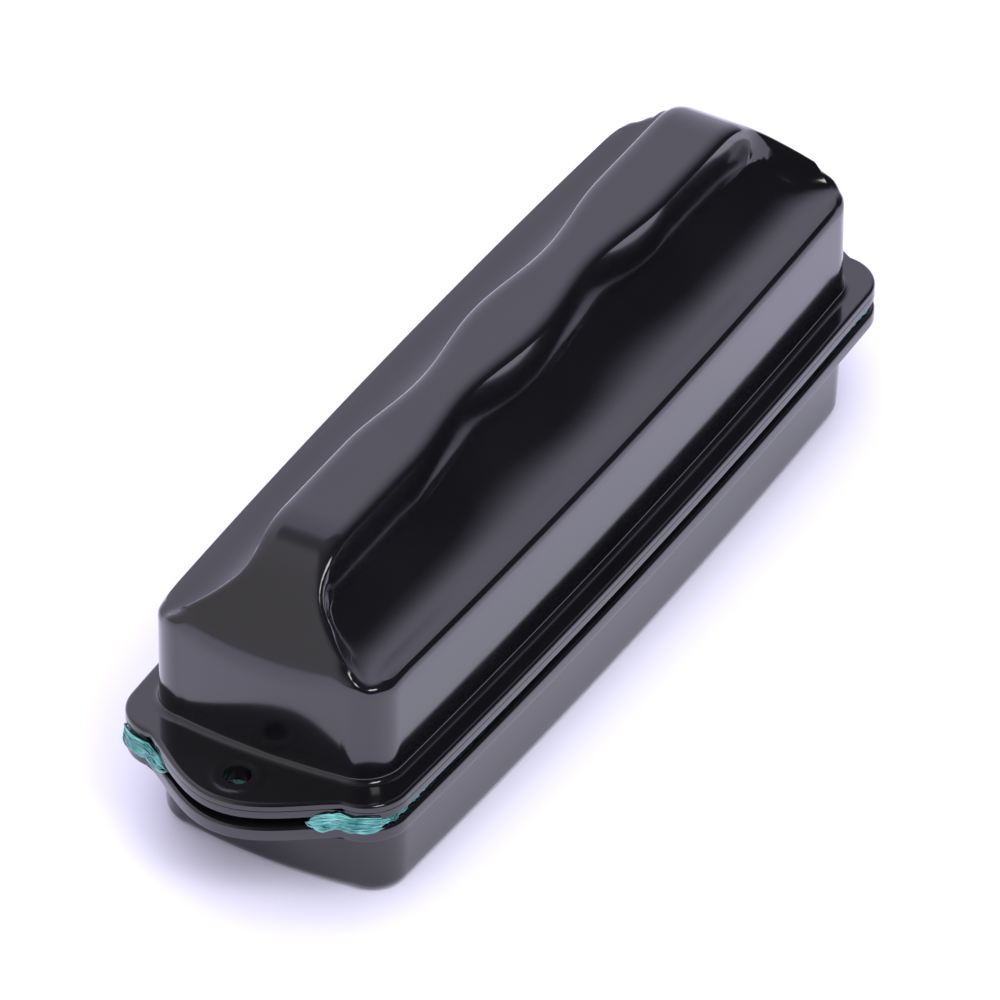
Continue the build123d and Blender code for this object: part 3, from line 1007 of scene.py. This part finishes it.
def strand(bm, points, radius):
    """A thin closed tube through points, narrower at its tips."""
    rings = []
    for k, p in enumerate(points):
        ahead = points[min(k + 1, len(points) - 1)] - points[max(k - 1, 0)]
        ahead.normalize()
        side = ahead.cross(Vector((0.31, 0.17, 0.94))).normalized()
        other = ahead.cross(side)
        thin = STRAND_TIP if k in (0, len(points) - 1) else 1.0
        ring = []
        for s in range(STRAND_SIDES):
            turn = math.tau * s / STRAND_SIDES
            away = side * math.cos(turn) + other * math.sin(turn)
            ring.append(bm.verts.new(p + away * radius * thin))
        rings.append(ring)
    for a, b in zip(rings, rings[1:]):
        for s in range(STRAND_SIDES):
            n = (s + 1) % STRAND_SIDES
            bm.faces.new((a[s], a[n], b[n], b[s]))
    bm.faces.new(list(reversed(rings[0])))
    bm.faces.new(rings[-1])


def edge_loops(bm, rng):
    """Nylon loops that stand out of the scouring pad's edge."""
    loop = [(x + PAD_SHIFT, y) for x, y in pad_loop(PAD_L, PAD_W, PAD_CORNER)]
    out_loop = inset_loop(loop, -1.0)
    for _ in range(LOOPS):
        i = rng.randrange(len(loop))
        (x, y), (ox, oy) = loop[i], out_loop[i]
        if abs(y) < EAR_CLEAR_Y and abs(x) > EAR_CLEAR_X:
            continue
        out = Vector((ox - x, oy - y, 0))
        along = Vector((-out.y, out.x, 0))
        z0 = lerp(Z_PAD_LOW + 0.1, Z_PAD - 0.12, rng.random()) + corner_lift(x, y)
        span = rng.uniform(0.7, 2.0)
        tilt = rng.uniform(-0.3, 0.3)
        reach = 0.14 * rng.uniform(0.4, 1.3)
        points = []
        for k in range(LOOP_STEPS + 1):
            s = k / LOOP_STEPS * 2 - 1
            p = Vector((x, y, z0)) - out * 0.35 + along * s * span / 2
            p += out * (reach + 0.3) * (1 - s * s) + Vector((0, 0, tilt * s * 0.4))
            p.z = min(max(p.z, Z_PAD_LOW + 0.08), Z_PAD - 0.08 + corner_lift(p.x, p.y))
            points.append(p)
        strand(bm, points, rng.uniform(0.045, 0.07))


def corner_tufts(bm, rng):
    """Tufts that spill out between the flanges and lie along their corners at the -X end."""
    root_z = (Z_PAD_LOW + Z_PAD) / 2
    rim = flange_loop()
    path = [Vector((x, y, 0)) for x, y in rim[-TUFT_BEFORE:] + rim[:TUFT_AFTER]]
    for sy in (-1, 1):
        for _ in range(TUFT_STRANDS):
            first = rng.uniform(0, len(path) - TUFT_RUN)
            spans = rng.uniform(6, 15)
            off = rng.uniform(0.12, 0.5)
            z_out = rng.uniform(Z_FACE - 0.3, Z_BASE - 0.35)
            wave, phase = rng.uniform(0.03, 0.14), rng.uniform(0, math.tau)
            points = []
            for k in range(TUFT_STEPS + 1):
                s = k / TUFT_STEPS
                at = min(first + spans * s, len(path) - 1.001)
                i = int(at)
                p = path[i].lerp(path[i + 1], at - i)
                ahead = (path[i + 1] - path[i]).normalized()
                out = Vector((ahead.y, -ahead.x, 0))
                bulge = math.sin(math.pi * s) ** 0.6
                p = p + out * (-0.35 + (0.35 + off) * bulge)
                p.z = root_z + (z_out - root_z) * bulge + wave * bulge * math.sin(phase + 9 * s)
                p.y *= -sy
                points.append(p)
            strand(bm, points, rng.uniform(0.05, 0.11))


def pad_fibres():
    """The scouring pad's loose nylon, as one piece."""
    rng = random.Random(7)
    bm = bmesh.new()
    edge_loops(bm, rng)
    corner_tufts(bm, rng)
    piece = make_object("scouring_fibres", bm, "scrubber_half", FIBRE, 80)


def felt_pad():
    """The felt on the grip half, whose face looks down at the glass."""
    skin = Skin()
    loop = pad_loop(FELT_L, FELT_W, FELT_CORNER)
    thick = Z_FELT - Z_FELT_LOW
    for inset, share in [(0.3, 0.0), (0.08, 0.12), (0.0, 0.4), (0.0, 0.7), (0.1, 0.93), (0.22, 1.0)]:
        ring = []
        for (x, y), (ix, iy) in zip(loop, inset_loop(loop, 1.0)):
            a = inset + 0.05 + 0.07 * noise.noise(Vector((x * 1.6, y * 1.6, share * 3)))
            ring.append((x + (ix - x) * a, y + (iy - y) * a, Z_FELT_LOW + thick * share))
        skin.ring(ring)

    def under(p, t, w):
        n = noise.noise(Vector((p.x * 1.1, p.y * 1.1, 2)))
        fade = smooth((FELT_W / 2 - abs(p.y)) / 1.2) * smooth((FELT_L / 2 - abs(p.x)) / 1.2)
        return Vector((p.x, p.y, Z_FELT_LOW + 0.05 * fade * (1 + n)))

    skin.cap(skin.first, under)
    skin.cap(skin.last, flat)
    cloth = MATERIALS["black_felt"]
    piece = make_object("felt_pad", skin.bm, "handle_half", cloth, CLOTH_SHARP)
    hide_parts("handle_felt_pad")


grip_shell()
recess_loop = pad_loop(
    FELT_L + 2 * FELT_CLEARANCE, FELT_W + 2 * FELT_CLEARANCE, FELT_CORNER + FELT_CLEARANCE,
)
rounded_plate(
    "grip_base_plate", "handle_base_plate", "handle_half", flange_loop(), Z_BASE_LOW, Z_BASE,
    top_r=0.06, low_r=0.16, recess=(recess_loop, RECESS_DEPTH),
)
rounded_plate(
    "scrubber_rim_plate", "scrubber_face_plate", "scrubber_half", flange_loop(), Z_FACE_LOW, Z_FACE,
    top_r=FLANGE_EDGE_R, low_r=0.2,
)
tub()
scouring_pad()
pad_fibres()
felt_pad()
